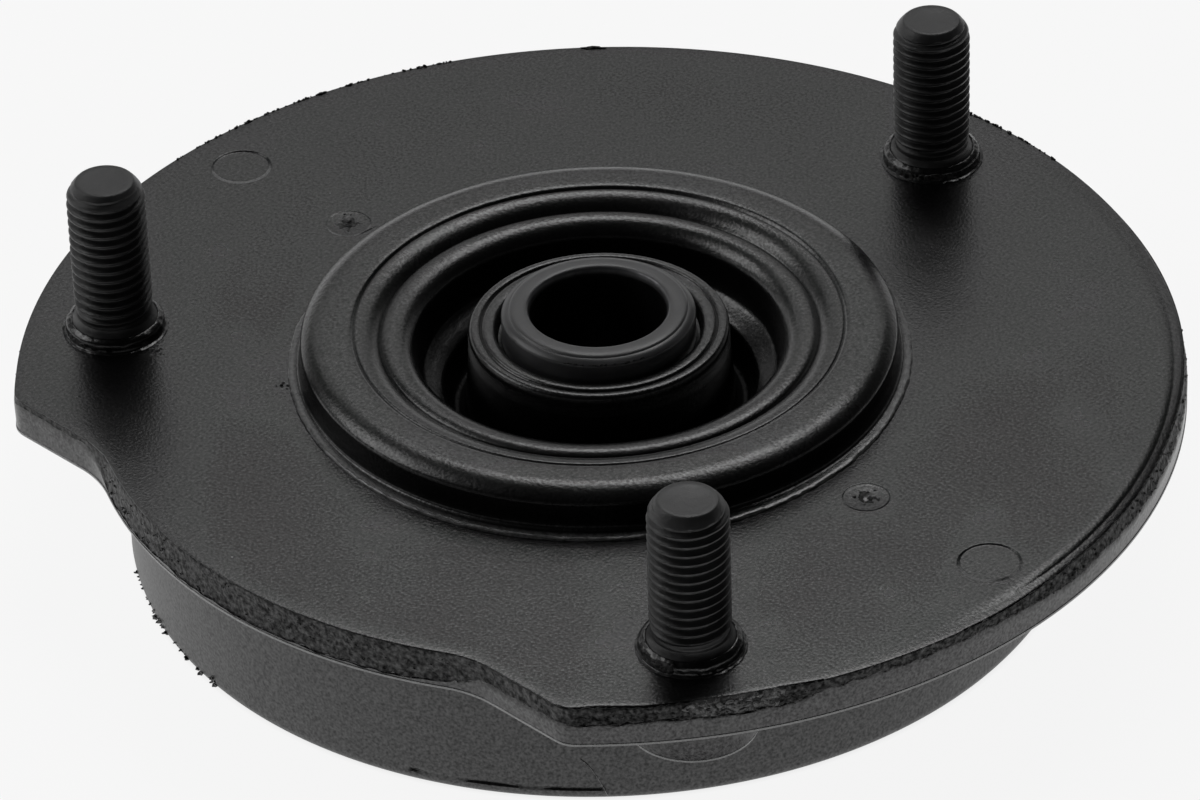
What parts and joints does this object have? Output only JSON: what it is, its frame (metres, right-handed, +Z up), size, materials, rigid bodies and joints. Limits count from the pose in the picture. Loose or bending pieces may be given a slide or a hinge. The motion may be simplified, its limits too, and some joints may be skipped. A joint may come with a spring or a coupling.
{
  "type": "strut mount",
  "caption": "Round rubber and steel strut mount with upright studs, a flange cut back on one side, a domed ring round a sprung hub and a bored centre sleeve.",
  "frame": {"origin": "on the axis of the centre sleeve, level with the top face of the flange", "axes": "+Z up along the studs, -Y towards the side where the flange is cut back, +X across the two front studs"},
  "size_m": [0.146, 0.1369, 0.0442],
  "materials": {
    "rubber": "satin moulded black rubber",
    "pressed_steel": "plain mill finish, bonded under rubber",
    "blackened_stud": "black phosphate and oil",
    "coated_sleeve": "black satin coating"
  },
  "bodies": {
    "root": {"rubber_body": "rubber", "mounting_plate": "pressed_steel", "mounting_studs": "blackened_stud", "inner_sleeve": "coated_sleeve", "hub_disc": "pressed_steel", "lower_cup": "pressed_steel"}
  },
  "joints": []
}
